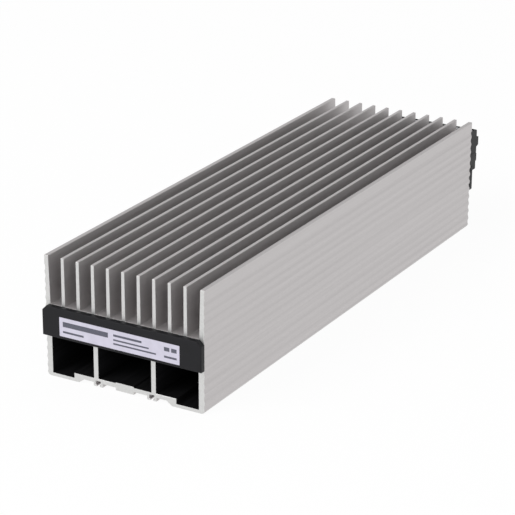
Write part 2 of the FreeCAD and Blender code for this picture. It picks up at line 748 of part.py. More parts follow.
def slot_seals():
    slot_seal("front_slot_seal", "front_y + seal_clearance")
    start = "tab_end + 2 * seal_clearance"
    made = slot_seal("rear_slot_seal", start)
    holes = sketch(made, "lead_holes", "XZ_Plane", start)
    circle(holes, "live_tab_offset", "live_height", "lead_radius + seal_clearance / 2")
    circle(holes, "neutral_tab_offset", "neutral_height", "lead_radius + seal_clearance / 2")
    pocket(made, "lead_hole_cut", holes, "seal_length", 1)


# Leads from the cartridge to the terminal. A bend takes up to this share of the shorter run.
RUN_SHARE = 0.45


def lead(name, corners):
    """Round lead with one tangent bend, cut flush where it meets the face of a header pin."""
    start, corner, goal = (Vector(*(number(item) for item in place)) for place in corners)
    radius = number("lead_radius")
    back = (start - corner).normalize()
    ahead = (goal - corner).normalize()
    turn = math.pi - back.getAngle(ahead)
    room = RUN_SHARE * min(corner.distanceToPoint(start), corner.distanceToPoint(goal))
    bend = min(number("lead_bend"), room / math.tan(turn / 2))
    cut = bend * math.tan(turn / 2)
    inward = (back + ahead).normalize()
    middle = corner + inward * (bend / math.cos(turn / 2) - bend)
    beyond = goal + ahead * (2 * radius)
    path = Part.Wire([Part.LineSegment(start, corner + back * cut).toShape(),
                      Part.Arc(corner + back * cut, middle, corner + ahead * cut).toShape(),
                      Part.LineSegment(corner + ahead * cut, beyond).toShape()])
    ring = Part.Wire(Part.makeCircle(radius, start, back))
    tube = path.makePipeShell([ring], True, False)
    wanted = math.pi * radius ** 2 * path.Length
    if abs(tube.Volume / wanted - 1) > 0.01:
        raise RuntimeError("%s has the wrong volume" % name)
    behind = Part.makeBox(20 * radius, 10 * radius, 20 * radius,
                          Vector(goal.x - 10 * radius, goal.y, goal.z - 10 * radius))
    made = doc.addObject("Part::Feature", name)
    made.Label = name
    made.Shape = tube.cut(behind)
    nodes.append(made)


def leads():
    start = "cartridge_rear + 2 * film_overhang"
    face = "pin_y - pin_thickness / 2"
    lead("live_lead", [("live_tab_offset", start, "live_height"),
                       ("live_tab_offset", "(tab_end + seal_length + rear_y) / 2", "live_height"),
                       (pole(0), face, "pin_bottom + lead_radius")])
    lead("neutral_lead", [("neutral_tab_offset", start, "neutral_height"),
                          ("neutral_tab_offset", "rear_y - 4 * lead_radius", "neutral_height"),
                          ("%s - lead_radius" % pole(1), face, "pin_bottom + 2 * lead_radius")])


# Terminal header, fixed to the rear cap
def terminal_header():
    made = body("terminal_header")
    shape = sketch(made, "section", "YZ_Plane", "block_left")
    rear = "rear_y + header_depth"
    rim_top = "header_top - 2 * rim_bevel"
    outline(shape, [("header_front", "header_bottom"), (rear, "header_bottom"),
                    (rear, "%s - rim_height - rim_bevel" % rim_top),
                    ("%s + rim_proud" % rear, "%s - rim_height" % rim_top),
                    ("%s + rim_proud" % rear, rim_top),
                    ("rear_y + plug_depth", "%s + rim_bevel" % rim_top),
                    ("rear_y + plug_depth", "header_top"), ("plug_front", "header_top"),
                    ("plug_front", "fin_root + seat_gap"), ("header_front", "fin_root + seat_gap")])
    pad(made, "section_pad", shape, "block_width", 1)
    cavity = sketch(made, "lead_cavity", "XZ_Plane", "header_front")
    inside = "hook_clearance + hook_width"
    rectangle(cavity, "window_left + " + inside, "cavity_floor", "window_right - (%s)" % inside,
              "cavity_top")
    pocket(made, "lead_cavity_cut", cavity,
           "header_depth - cap_thickness - seat_gap - header_rear_wall", 1)
    slots = sketch(made, "pin_slots", "XY_Plane", "header_top")
    for index in range(len(POLES)):
        middle_out(slots, pole(index), "pin_y", "pin_width + 2 * pin_clearance",
                   "pin_thickness + 2 * pin_clearance")
    pocket(made, "pin_slot_cut", slots, "header_top - cavity_top", -1)
    threads = sketch(made, "flange_threads", "XY_Plane", "header_top")
    for across in ("flange_left", "flange_right"):
        circle(threads, across, "screw_y", "small_screw_radius + thread_clearance")
    pocket(made, "flange_thread_cut", threads, "flange_thread_reach + screw_end_gap", -1)
    hooks = sketch(made, "snap_hooks", "XY_Plane", "cavity_floor + hook_clearance")
    catch = "rear_y - hook_clearance"
    tip = "%s - hook_tip" % catch
    for edge, sign, back in (("window_left", "+", "-"), ("window_right", "-", "+")):
        outer = "%s %s hook_clearance" % (edge, sign)
        inner = "%s %s hook_width" % (outer, sign)
        outline(hooks, [(outer, "header_front"), (outer, catch),
                        ("%s %s hook_barb" % (outer, back), catch), (outer, tip), (inner, tip),
                        (inner, "header_front")])
    pad(made, "snap_hook_pad", hooks, "chamber_top - cavity_floor - 3 * hook_clearance", 1)


def header_pins():
    for index, name in enumerate(POLES):
        made = body("header_pin_" + name)
        blade = sketch(made, "blade", "XZ_Plane", "pin_y - pin_thickness / 2")
        left = "%s - pin_width / 2" % pole(index)
        right = "%s + pin_width / 2" % pole(index)
        top = "pin_bottom + pin_height"
        outline(blade, [(left, "pin_bottom"), (right, "pin_bottom"),
                        (right, "%s - pin_width / 4" % top), ("%s - pin_width / 4" % right, top),
                        ("%s + pin_width / 4" % left, top), (left, "%s - pin_width / 4" % top)])
        pad(made, "blade_pad", blade, "pin_thickness", 1)


# Terminal plug, which pulls off the header
def terminal_plug():
    made = body("terminal_plug")
    shape = sketch(made, "section", "YZ_Plane", "block_left")
    bottom = "header_top + seat_gap"
    rear = "rear_y + plug_depth"
    outline(shape, [("plug_front", bottom), (rear, bottom), (rear, "hood_bottom"),
                    ("%s + hood_proud" % rear, "hood_bottom + hood_taper"),
                    ("%s + hood_proud" % rear, "hood_bottom + hood_height - hood_taper"),
                    (rear, "hood_bottom + hood_height"), (rear, "plug_top - plug_bevel"),
                    ("%s - plug_bevel" % rear, "plug_top"), ("plug_front", "plug_top")])
    pad(made, "section_pad", shape, "block_width", 1)
    cells = sketch(made, "pole_cells", "XY_Plane", bottom)
    entries = sketch(made, "wire_entries", "XZ_Plane", "%s + hood_proud" % rear)
    funnels = sketch(made, "funnels", "XZ_Plane", "%s + hood_proud" % rear)
    access = sketch(made, "screw_access", "XY_Plane", "plug_top")
    for index in range(len(POLES)):
        wide = "cage_width / 2 + cage_clearance"
        rectangle(cells, "%s - (%s)" % (pole(index), wide), "cell_front",
                  "%s + (%s)" % (pole(index), wide), "cage_rear + cage_clearance")
        middle_out(entries, pole(index), "entry_middle", "entry_width", "entry_height")
        middle_out(funnels, pole(index), "entry_middle", "funnel_width", "funnel_height")
        circle(access, pole(index), "screw_y", "access_radius")
    pocket(made, "pole_cell_cut", cells, "cell_top - (%s)" % bottom, 1)
    pocket(made, "wire_entry_cut", entries, "hood_proud + plug_rear_wall", -1)
    pocket(made, "funnel_cut", funnels, "funnel_depth", -1)
    pocket(made, "screw_access_cut", access, "plug_roof", -1)
    through = sketch(made, "flange_holes", "XY_Plane", bottom)
    seats = sketch(made, "flange_seats", "XY_Plane", "plug_top")
    for across in ("flange_left", "flange_right"):
        circle(through, across, "screw_y", "small_screw_radius + 3 * thread_clearance")
        circle(seats, across, "screw_y", "small_head_radius + 4 * thread_clearance")
    pocket(made, "flange_hole_cut", through, "plug_top - (%s)" % bottom, 1)
    pocket(made, "flange_seat_cut", seats, "plug_top - small_screw_seat", -1)


def fork_contacts():
    for index, name in enumerate(POLES):
        made = body("fork_contact_" + name)
        shape = sketch(made, "section", "YZ_Plane", "%s - fork_width / 2" % pole(index))
        inner = "pin_y - fork_half"
        outer = "pin_y + fork_half"
        low = "header_top + 2 * cage_clearance"
        outline(shape, [("%s - leaf_thickness" % inner, low), (inner, low), (inner, "tongue_bottom"),
                        (outer, "tongue_bottom"), (outer, low), ("%s + leaf_thickness" % outer, low),
                        ("%s + leaf_thickness" % outer, "tongue_bottom"),
                        ("cage_rear - cage_clearance", "tongue_bottom"),
                        ("cage_rear - cage_clearance", "tongue_top"),
                        ("%s - leaf_thickness" % inner, "tongue_top")])
        pad(made, "section_pad", shape, "fork_width", 1)


def clamp_cages():
    for index, name in enumerate(POLES):
        made = body("clamp_cage_" + name)
        ring = sketch(made, "ring", "XZ_Plane", "cage_rear - cage_depth")
        middle = pole(index)
        rectangle(ring, "%s - cage_width / 2" % middle, "cage_bottom", "%s + cage_width / 2" % middle,
                  "cage_outer_top")
        pad(made, "ring_pad", ring, "cage_depth", 1)
        hole = sketch(made, "opening", "XZ_Plane", "cage_rear - cage_depth")
        rectangle(hole, "%s - cage_width / 2 + cage_wall" % middle, "cage_inner_floor",
                  "%s + cage_width / 2 - cage_wall" % middle, "cage_inner_top")
        pocket(made, "opening_cut", hole, "cage_depth", 1)
        thread = sketch(made, "thread", "XY_Plane", "cage_inner_top")
        circle(thread, middle, "screw_y", "clamp_screw_radius + thread_clearance")
        pocket(made, "thread_cut", thread, "cage_top", 1)


# Fasteners and the earth connection
def terminal_screws():
    seat = "cage_outer_top + clamp_head_gap"
    for index, name in enumerate(POLES):
        made = screw("clamp_screw_" + name, "clamp_screw_radius", "(%s - tongue_top)" % seat,
                     "clamp_head_radius", "clamp_head_height", "slot")
        place(made, pole(index), "screw_y", seat)
    for side in ("left", "right"):
        made = screw("flange_screw_" + side, "small_screw_radius", "flange_screw_length",
                     "small_head_radius", "small_head_height", "slot")
        place(made, "flange_" + side, "screw_y", "small_screw_seat")


def cap_screws():
    for side, sign in (("left", "-"), ("right", "")):
        made = screw("rear_cap_screw_" + side, "cap_screw_radius", "cap_screw_length",
                     "cap_head_radius", "cap_head_height", "cross")
        place(made, sign + "cap_port_offset", "rear_y + cap_thickness - cap_head_height",
              "port_height", -90)


def earth_connection():
    face = "rear_y - earth_recess_depth"
    strap = body("earth_strap")
    shape = sketch(strap, "section", "YZ_Plane", "earth_x - strap_width / 2")
    low = "port_height - washer_size / 2"
    top = "pin_bottom + strap_thickness"
    end = "pin_y - pin_thickness / 2"
    outline(shape, [(face, low), ("%s + strap_thickness" % face, low),
                    ("%s + strap_thickness" % face, "pin_bottom"), (end, "pin_bottom"), (end, top),
                    (face, top)])
    pad(strap, "section_pad", shape, "strap_width", 1)
    hole = sketch(strap, "hole", "XZ_Plane", face)
    circle(hole, "earth_x", "port_height", "earth_screw_radius + 8 * thread_clearance")
    pocket(strap, "hole_cut", hole, "strap_thickness", 1)
    washer = body("earth_washer")
    ring = sketch(washer, "ring", "XZ_Plane", "%s + strap_thickness" % face)
    middle_out(ring, "earth_x", "port_height", "washer_size", "washer_size")
    circle(ring, "earth_x", "port_height", "earth_screw_radius + 8 * thread_clearance")
    pad(washer, "ring_pad", ring, "washer_thickness", 1)
    made = screw("earth_screw", "earth_screw_radius", "earth_screw_length",
                 "earth_head_radius", "earth_head_height", None)
    place(made, "earth_x", "%s + strap_thickness + washer_thickness" % face, "port_height", -90)


def write_nodes():
    """Check every object, then write one file for each node."""
    doc.recompute()
    for thing in doc.Objects:
        if "Invalid" in thing.State or "Error" in thing.State:
            raise RuntimeError("%s failed" % thing.Name)
    os.makedirs("parts", exist_ok=True)
    for node in nodes:
        shape = node.Shape
        if shape.isNull() or not shape.isValid() or len(shape.Solids) != 1:
            raise RuntimeError("%s is not one valid solid" % node.Label)
        shape.exportStep("parts/%s.step" % node.Label)
    print("%d nodes" % len(nodes))


fill_sheet()
heatsink_profile()
front_end_cap()
rear_end_cap()
rating_label()
ptc_stones()
stone_frame()
contact_strip("contact_strip_lower", "lower_strip_floor", "neutral_tab_offset")
contact_strip("contact_strip_upper", "upper_strip_floor", "live_tab_offset")
insulating_sleeve()
slot_seals()
leads()
terminal_header()
header_pins()
terminal_plug()
fork_contacts()
clamp_cages()
terminal_screws()
cap_screws()
earth_connection()
write_nodes()
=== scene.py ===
import json
import math

import bmesh
import bpy
from bpy.props import FloatProperty, FloatVectorProperty, IntProperty, PointerProperty
from mathutils import Matrix, Vector

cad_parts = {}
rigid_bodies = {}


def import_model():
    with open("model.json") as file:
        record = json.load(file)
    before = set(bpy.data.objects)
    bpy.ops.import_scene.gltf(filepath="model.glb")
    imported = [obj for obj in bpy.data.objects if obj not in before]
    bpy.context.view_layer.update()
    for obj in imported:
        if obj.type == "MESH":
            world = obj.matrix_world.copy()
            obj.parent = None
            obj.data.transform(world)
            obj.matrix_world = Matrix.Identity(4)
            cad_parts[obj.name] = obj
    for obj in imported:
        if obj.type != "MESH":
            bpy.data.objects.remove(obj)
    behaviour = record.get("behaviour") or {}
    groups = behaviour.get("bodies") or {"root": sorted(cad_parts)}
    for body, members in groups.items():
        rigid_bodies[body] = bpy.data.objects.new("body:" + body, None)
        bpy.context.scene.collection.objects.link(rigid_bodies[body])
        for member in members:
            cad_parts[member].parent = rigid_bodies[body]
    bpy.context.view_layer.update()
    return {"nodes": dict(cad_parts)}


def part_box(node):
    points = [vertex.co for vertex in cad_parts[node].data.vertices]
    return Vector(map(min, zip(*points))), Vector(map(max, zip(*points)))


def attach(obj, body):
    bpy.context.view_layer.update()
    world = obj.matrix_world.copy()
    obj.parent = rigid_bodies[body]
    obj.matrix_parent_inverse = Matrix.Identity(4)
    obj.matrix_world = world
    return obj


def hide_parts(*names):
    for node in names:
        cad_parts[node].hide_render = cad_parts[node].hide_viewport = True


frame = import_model()

# Finned enclosure heater: an extruded, natural anodised body with saw-cut ends,
# moulded end caps, a film label and a pluggable three-pole screw terminal.

bl_info = {
    "name": "Enclosure heater",
    "version": (1, 0, 0),
    "blender": (4, 5, 0),
    "location": "View3D > Sidebar > Heater",
    "description": "Dresses the packed heater with its finishes, label, light and camera",
    "category": "Object",
}

MM = 0.001
BODY = "root"
MERGE_DISTANCE = 0.002 * MM
FLAT_ANGLE = math.radians(0.4)
SHARP_ANGLE = math.radians(28.0)
POLES = ("live", "neutral", "earth")


def linear(code):
    """Linear colour with alpha from an sRGB hex value."""
    parts = [int(code[start:start + 2], 16) / 255 for start in (0, 2, 4)]
    bent = [part / 12.92 if part <= 0.04045 else ((part + 0.055) / 1.055) ** 2.4 for part in parts]
    return (*bent, 1.0)


def colour(name, description, code):
    """Colour property with an sRGB hex default."""
    return FloatVectorProperty(name=name, description=description, subtype="COLOR", size=4,
                               min=0.0, max=1.0, default=linear(code))


def length(name, description, millimetres):
    """Length property with a default in millimetres."""
    return FloatProperty(name=name, description=description, unit="LENGTH", precision=5,
                         min=0.0, default=millimetres * MM)


class ExtrusionSettings(bpy.types.PropertyGroup):
    """Sizes and colours of the extruded body"""
    wall_colour: colour("Anodised skin", "Matt natural anodised aluminium", "cac7c7")
    streak_colour: colour("Die streaks", "Darker streaks that the die leaves along the walls", "c7c4c4")
    cut_colour: colour("Saw cut", "Bare aluminium where the saw went through", "d6d6d5")
    # Painted shade: a near-black colour on the duct walls that stands in for the shade deep inside the
    # ducts
    duct_shade_colour: colour("Painted duct shade", "Near-black painted shade on the walls inside the three ducts", "121214")
    edge_radius: length("Edge radius", "Rounding that the tumbled edges show", 0.24)
    flute_share: FloatProperty(name="Flute share", subtype="FACTOR", min=0.0, max=1.0, default=1.0,
                               description="Share of the flutes' depth that blasting leaves")
    die_line: length("Die line spacing", "Width of the fine lines along the extrusion", 0.45)
    streak_width: length("Streak width", "Width of the broad streaks along the extrusion", 2.6)
    saw_mark: length("Saw mark spacing", "Distance between the arcs that the saw leaves", 0.8)


class MouldingSettings(bpy.types.PropertyGroup):
    """Sizes and colours of the black mouldings"""
    cap_colour: colour("End caps", "Black glass-filled polyamide", "131316")
    terminal_colour: colour("Terminal", "Black polyamide of the terminal block", "101213")
    texture_size: length("Texture grain", "Size of the spark-eroded grain on the mouldings", 0.35)
    edge_radius: length("Edge radius", "Rounding on the moulded edges", 0.3)
    groove_width: length("Groove width", "Width of the grooves that part the poles", 0.6)
    groove_depth: length("Groove depth", "Depth of the grooves that part the poles", 0.45)


class LabelSettings(bpy.types.PropertyGroup):
    """Sizes and colours of the label"""
    film_colour: colour("Film", "Pale lavender grey polyester film", "bebbca")
    ink_colour: colour("Ink", "Dark print on the film", "464752")
    corner_radius: length("Corner radius", "Rounding of the film's corners", 0.3)
    print_relief: length("Print relief", "How far the ink stands on the film", 0.03)


class MetalSettings(bpy.types.PropertyGroup):
    """Sizes and colours of screws and contacts"""
    zinc_colour: colour("Zinc plating", "Bright zinc on steel", "c4c6ca")
    tin_colour: colour("Tin plating", "Soft grey tin on brass and copper", "c9c6be")
    edge_radius: length("Edge radius", "Rounding on the screw heads", 0.18)


class StageSettings(bpy.types.PropertyGroup):
    """Camera, lights and floor"""
    azimuth: FloatProperty(name="Azimuth", description="Camera's turn from the labelled end",
                           subtype="ANGLE", default=math.radians(30.07))
    elevation: FloatProperty(name="Elevation", description="Camera's angle above the floor",
                             subtype="ANGLE", default=math.radians(21.57))
    roll: FloatProperty(name="Roll", description="Camera's lean", subtype="ANGLE",
                        default=math.radians(0.238))
    distance: length("Distance", "From the body's underside to the camera, along the view", 1194.75)
    across: FloatProperty(name="Across", description="Camera's place right of the body's middle",
                          unit="LENGTH", default=-9.18 * MM)
    above: FloatProperty(name="Above", description="Camera's place above the body's underside",
                         unit="LENGTH", default=19.77 * MM)
    lens: FloatProperty(name="Lens", description="Focal length in millimetres", subtype="DISTANCE_CAMERA",
                        default=157.04)
    floor_colour: colour("Floor", "Pale studio floor", "f4f4f4")
    white_share: FloatProperty(name="White share", description="How much plain white the floor shows",
                               subtype="FACTOR", min=0.0, max=1.0, default=0.94)
    room_level: FloatProperty(name="Room level", description="Strength of the even light",
                              subtype="FACTOR", min=0.0, max=1.0, default=0.7)
    key_power: FloatProperty(name="Key light", description="Power of the front light", unit="POWER",
                             default=28.0)
    side_power: FloatProperty(name="Side light", description="Power of the right-hand light", unit="POWER",
                              default=2.2)
    overhead_level: FloatProperty(name="Overhead level", description="How white metal mirrors the ceiling",
                                  subtype="FACTOR", min=0.0, max=1.0, default=0.66)
    floor_sides: IntProperty(name="Floor sides", description="Sides of the round floor", default=96)


# Materials
def shaded(tint, share):
    """Colour made paler or darker by a share."""
    return (*(min(1.0, part * share) for part in tint[:3]), 1.0)


def node(tree, kind, inputs=None, **settings):
    """Add a node, apply its settings, and fill its inputs with values or other nodes' outputs."""
    made = tree.nodes.new(kind)
    for name, value in settings.items():
        setattr(made, name, value)
    for name, value in (inputs or {}).items():
        if isinstance(value, bpy.types.NodeSocket):
            tree.links.new(value, made.inputs[name])
        else:
            made.inputs[name].default_value = value
    return made


def surface(name, inputs):
    """New material with one principled shader whose inputs come from a function of its node tree."""
    made = bpy.data.materials.new(name)
    made.use_nodes = True
    tree = made.node_tree
    tree.nodes.clear()
    shader = node(tree, "ShaderNodeBsdfPrincipled", inputs(tree))
    node(tree, "ShaderNodeOutputMaterial", {"Surface": shader.outputs["BSDF"]})
    return made


def pattern(tree, size, stretch=(1.0, 1.0, 1.0), detail=2.0):
    """Noise in the object's own space with grains of a real size, stretched along chosen axes."""
    place = node(tree, "ShaderNodeTexCoord").outputs["Object"]
    scale = tuple(1.0 / (size * share) for share in stretch)
    fitted = node(tree, "ShaderNodeMapping", {"Vector": place, "Scale": scale})
    noise = node(tree, "ShaderNodeTexNoise",
                 {"Vector": fitted.outputs["Vector"], "Scale": 1.0, "Detail": detail, "Roughness": 0.55})
    return noise.outputs["Fac"]


def between(tree, factor, low, high):
    """Noise, which stays mostly between 0.3 and 0.7, spread over a range of values."""
    made = node(tree, "ShaderNodeMapRange",
                {"Value": factor, "From Min": 0.3, "From Max": 0.7, "To Min": low, "To Max": high})
    return made.outputs["Result"]


def blended(tree, factor, first, second):
    """Two colours mixed by noise, which is spread for contrast first."""
    made = node(tree, "ShaderNodeMix", {0: between(tree, factor, 0.0, 1.0), 6: first, 7: second},
                data_type="RGBA")
    return made.outputs[2]


def relief(tree, height, depth, strength, below=None):
    """Bump of a real depth, on top of another bump if there is one."""
    inputs = {"Height": height, "Distance": depth, "Strength": strength}
    if below is not None:
        inputs["Normal"] = below
    return node(tree, "ShaderNodeBump", inputs).outputs["Normal"]


# Draws a pattern out along the extrusion, so that each line runs most of its length
ALONG = (1.0, 260.0, 1.0)


def extruded_surface(tree, sizes):
    """Streaks, die lines and the relief of an extruded wall: all of them run its whole length."""
    lines = pattern(tree, sizes.die_line, ALONG, 3.0)
    streaks = pattern(tree, sizes.streak_width, ALONG, 1.0)
    # Anodic grain is finer than a pixel and is drawn at 0.3 mm
    grain = pattern(tree, 0.3 * MM)
    lined = relief(tree, lines, 0.02 * MM, 0.35)
    return streaks, lines, relief(tree, grain, 0.01 * MM, 0.3, lined)


def natural_anodised_aluminium():
    """Extruded, natural anodised aluminium: matt grey, with light broken into long faint streaks."""
    sizes = bpy.context.scene.heater_extrusion

    def inputs(tree):
        streaks, lines, raised = extruded_surface(tree, sizes)
        tints = tuple(sizes.wall_colour), tuple(sizes.streak_colour)
        return {"Base Color": blended(tree, streaks, *tints), "Metallic": 1.0,
                "Roughness": between(tree, lines, 0.53, 0.65), "Normal": raised}
    return surface("natural_anodised_aluminium", inputs)


def painted_duct_shade():
    """Painted shade on the duct walls: a near-black colour that stands in for the shade inside the ducts,
    and shows the die lines faintly.
    """
    sizes = bpy.context.scene.heater_extrusion

    def inputs(tree):
        streaks, lines, raised = extruded_surface(tree, sizes)
        # Both colours are painted shade, near black, mixed by the streaks
        return {"Base Color": blended(tree, streaks, tuple(sizes.duct_shade_colour), linear("060607")),
                "Roughness": between(tree, lines, 0.8, 0.92), "Specular IOR Level": 0.12,
                "Normal": raised}
    return surface("painted_shade_duct_walls", inputs)


def saw_cut_aluminium():
    """Bare sawn aluminium: brighter than the anodised skin, with shallow arcs from the blade."""
    sizes = bpy.context.scene.heater_extrusion

    def inputs(tree):
        place = node(tree, "ShaderNodeTexCoord").outputs["Object"]
        # The blade's middle lies well below and beside the body, so its arcs are nearly straight,
        # and at a scale of 1 the rings lie pi / 10 apart
        blade = node(tree, "ShaderNodeMapping", {"Vector": place, "Location": (0.14, 0.0, 0.19)})
        arcs = node(tree, "ShaderNodeTexWave",
                    {"Vector": blade.outputs["Vector"], "Scale": math.pi / 10 / sizes.saw_mark,
                     "Distortion": 1.2, "Detail": 2.0, "Detail Scale": 0.6},
                    wave_type="RINGS", rings_direction="Y")
        smears = pattern(tree, 1.5 * MM)
        return {"Base Color": blended(tree, smears, sizes.cut_colour, linear("cfcfce")), "Metallic": 1.0,
                "Roughness": between(tree, smears, 0.5, 0.58),
                "Normal": relief(tree, arcs.outputs["Fac"], 0.02 * MM, 0.3)}
    return surface("saw_cut_aluminium", inputs)


def moulded_polyamide(name, tint, roughness):
    """Glass-filled polyamide from a spark-eroded mould: near black, dull, with a fine pebble grain."""
    sizes = bpy.context.scene.heater_moulding

    def inputs(tree):
        pebbles = pattern(tree, sizes.texture_size)
        flow = pattern(tree, 9.0 * MM, (2.0, 1.0, 1.0), 2.0)
        return {"Base Color": blended(tree, flow, tint, shaded(tint, 1.35)),
                "Roughness": between(tree, flow, roughness - 0.04, roughness + 0.06),
                "IOR": 1.53, "Specular IOR Level": 0.2,
                "Normal": relief(tree, pebbles, 0.03 * MM, 0.45)}
    return surface(name, inputs)


def label_film():
    """Polyester label film: pale, satin, with a slight waviness from the adhesive under it."""
    sizes = bpy.context.scene.heater_label

    def inputs(tree):
        waves = pattern(tree, 4.0 * MM, detail=1.0)
        tint = tuple(sizes.film_colour)
        return {"Base Color": blended(tree, waves, tint, shaded(tint, 1.08)),
                "Roughness": between(tree, waves, 0.3, 0.38), "IOR": 1.64,
                "Normal": relief(tree, waves, 0.02 * MM, 0.4)}
    return surface("label_film", inputs)


def label_ink():
    """Screen-printed ink: dark and a little broken where the mesh left it thin."""
    sizes = bpy.context.scene.heater_label

    def inputs(tree):
        mesh = pattern(tree, 0.25 * MM)
        tint = tuple(sizes.ink_colour)
        return {"Base Color": blended(tree, mesh, tint, shaded(tint, 1.7)),
                "Roughness": between(tree, mesh, 0.45, 0.6), "IOR": 1.5}
    return surface("label_ink", inputs)


def plated_metal(name, tint, roughness, tone):
    """Plating on steel or brass: bright but clouded, with small handling marks."""
    def inputs(tree):
        clouds = pattern(tree, 1.2 * MM)
        marks = pattern(tree, 0.2 * MM, (1.0, 6.0, 1.0), 3.0)
        return {"Base Color": blended(tree, clouds, tint, shaded(tint, tone)), "Metallic": 1.0,
                "Roughness": between(tree, marks, roughness - 0.06, roughness + 0.1),
                "Normal": relief(tree, marks, 0.01 * MM, 0.3)}
    return surface(name, inputs)


def dull_solid(name, light, dark, grain, roughness, ior, depth=0.02):
    """Matt solid such as ceramic, mica board or rubber, mottled at the size of its grain."""
    def inputs(tree):
        mottle = pattern(tree, grain)
        return {"Base Color": blended(tree, mottle, linear(light), linear(dark)),
                "Roughness": between(tree, mottle, roughness - 0.05, roughness + 0.05), "IOR": ior,
                "Normal": relief(tree, mottle, depth * MM, 0.4)}
    return surface(name, inputs)


def metallised_ceramic():
    """Barium titanate stone: dark grey and fired, under a thin sprayed layer of aluminium."""
    def inputs(tree):
        spray = pattern(tree, 0.5 * MM)
        return {"Base Color": blended(tree, spray, linear("8f8d8b"), linear("5a5857")),
                "Metallic": between(tree, spray, 0.2, 0.7), "Roughness": between(tree, spray, 0.6, 0.75),
                "Normal": relief(tree, spray, 0.03 * MM, 0.5)}
    return surface("metallised_ceramic", inputs)


def polyimide_film():
    """Polyimide film: amber, glossy and stiff, with soft creases across the wrap."""
    def inputs(tree):
        creases = pattern(tree, 6.0 * MM, (3.0, 1.0, 1.0), 1.0)
        return {"Base Color": blended(tree, creases, linear("c0761c"), linear("a5600f")),
                "Roughness": between(tree, creases, 0.16, 0.24), "IOR": 1.7,
                "Normal": relief(tree, creases, 0.1 * MM, 0.3)}
    return surface("polyimide_film", inputs)


def seen_white(tree):
    """1 for rays that come straight, by gloss or through glass from the camera, else 0."""
    path = node(tree, "ShaderNodeLightPath").outputs
    seen = node(tree, "ShaderNodeMath", {0: path["Is Camera Ray"], 1: path["Is Glossy Ray"]},
                operation="MAXIMUM")
    both = node(tree, "ShaderNodeMath", {0: seen.outputs[0], 1: path["Is Transmission Ray"]},
                operation="MAXIMUM")
    return both.outputs[0]


def background_paper(sizes):
    """Seamless paper: matt and pale, and mostly plain white to the camera, which leaves a faint shadow."""
    made = bpy.data.materials.new("pale_background_paper")
    made.use_nodes = True
    tree = made.node_tree
    tree.nodes.clear()
    matt = node(tree, "ShaderNodeBsdfDiffuse", {"Color": tuple(sizes.floor_colour)})
    white = node(tree, "ShaderNodeEmission", {"Color": linear("ffffff"), "Strength": 1.0})
    share = node(tree, "ShaderNodeMath", {0: seen_white(tree), 1: sizes.white_share},
                 operation="MULTIPLY")
    both = node(tree, "ShaderNodeMixShader", {0: share.outputs[0], 1: matt.outputs[0],
                                              2: white.outputs[0]})
    node(tree, "ShaderNodeOutputMaterial", {"Surface": both.outputs[0]})
    return made


# Pieces
def as_mesh(shape, name):
    """Mesh made from a bmesh, which is freed."""
    mesh = bpy.data.meshes.new(name)
    shape.to_mesh(mesh)
    shape.free()
    return mesh


def placed(name, data):
    """New object in the scene with a mesh, a lamp or a camera."""
    made = bpy.data.objects.new(name, data)
    bpy.context.scene.collection.objects.link(made)
    return made


def merged_copy(node_name):
    """A node's mesh with its doubles merged and its flat faces whole again."""
    shape = bmesh.new()
    shape.from_mesh(frame["nodes"][node_name].data)
    bmesh.ops.remove_doubles(shape, verts=shape.verts, dist=MERGE_DISTANCE)
    bmesh.ops.dissolve_limit(shape, angle_limit=FLAT_ANGLE, verts=shape.verts, edges=shape.edges)
    return shape


def keep_edges_crisp(shape):
    """Smooth the curved faces and mark the edges that turn sharply."""
    for face in shape.faces:
        face.smooth = True
    for edge in shape.edges:
        edge.smooth = edge.calc_face_angle(0.0) < SHARP_ANGLE


def new_piece(shape, name, slot, *materials):
    """Object made from a bmesh, with its materials, riding on the body."""
    keep_edges_crisp(shape)
    mesh = as_mesh(shape, name)
    for material in materials:
        mesh.materials.append(material)
    piece = placed(name, mesh)
    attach(piece, BODY)
    return piece


def round_edges(piece, width, segments=2):
    """Rounded edges with flat faces kept flat in the light."""
    rounding = piece.modifiers.new("edge_rounding", "BEVEL")
    rounding.width = width
    rounding.segments = segments
    rounding.profile = 0.5
    rounding.limit_method = "ANGLE"
    rounding.angle_limit = SHARP_ANGLE
    rounding.use_clamp_overlap = False
    rounding.harden_normals = True


def dressed(node_name, slot, material, width):
    """Piece that stands for a node and keeps its form, with its edges rounded."""
    piece = new_piece(merged_copy(node_name), node_name + "_finished", slot, material)
    round_edges(piece, width)
    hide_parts(node_name)


def paint(node_name, material):
    """Give a node that stays as it is a finish of its own."""
    slots = frame["nodes"][node_name].data.materials
    slots.clear()
    slots.append(material)


def add_box(shape, low, high):
    """Rectangular box between two corners, added to a bmesh."""
    size = Matrix.Diagonal((*(high - low), 1.0))
    bmesh.ops.create_cube(shape, size=1.0, matrix=Matrix.Translation((low + high) / 2) @ size)


def carved(shape, cutter):
    """Bmesh left when one bmesh is cut out of another."""
    holders = [placed(name, as_mesh(part, name)) for name, part in (("blank", shape), ("cutter", cutter))]
    blank, tool = holders
    cut = blank.modifiers.new("cut", "BOOLEAN")
    cut.operation = "DIFFERENCE"
    cut.solver = "EXACT"
    cut.object = tool
    result = bpy.data.meshes.new_from_object(
        blank.evaluated_get(bpy.context.evaluated_depsgraph_get()))
    left = bmesh.new()
    left.from_mesh(result)
    bpy.data.batch_remove([result] + [holder.data for holder in holders] + holders)
    bmesh.ops.remove_doubles(left, verts=left.verts, dist=MERGE_DISTANCE)
    return left


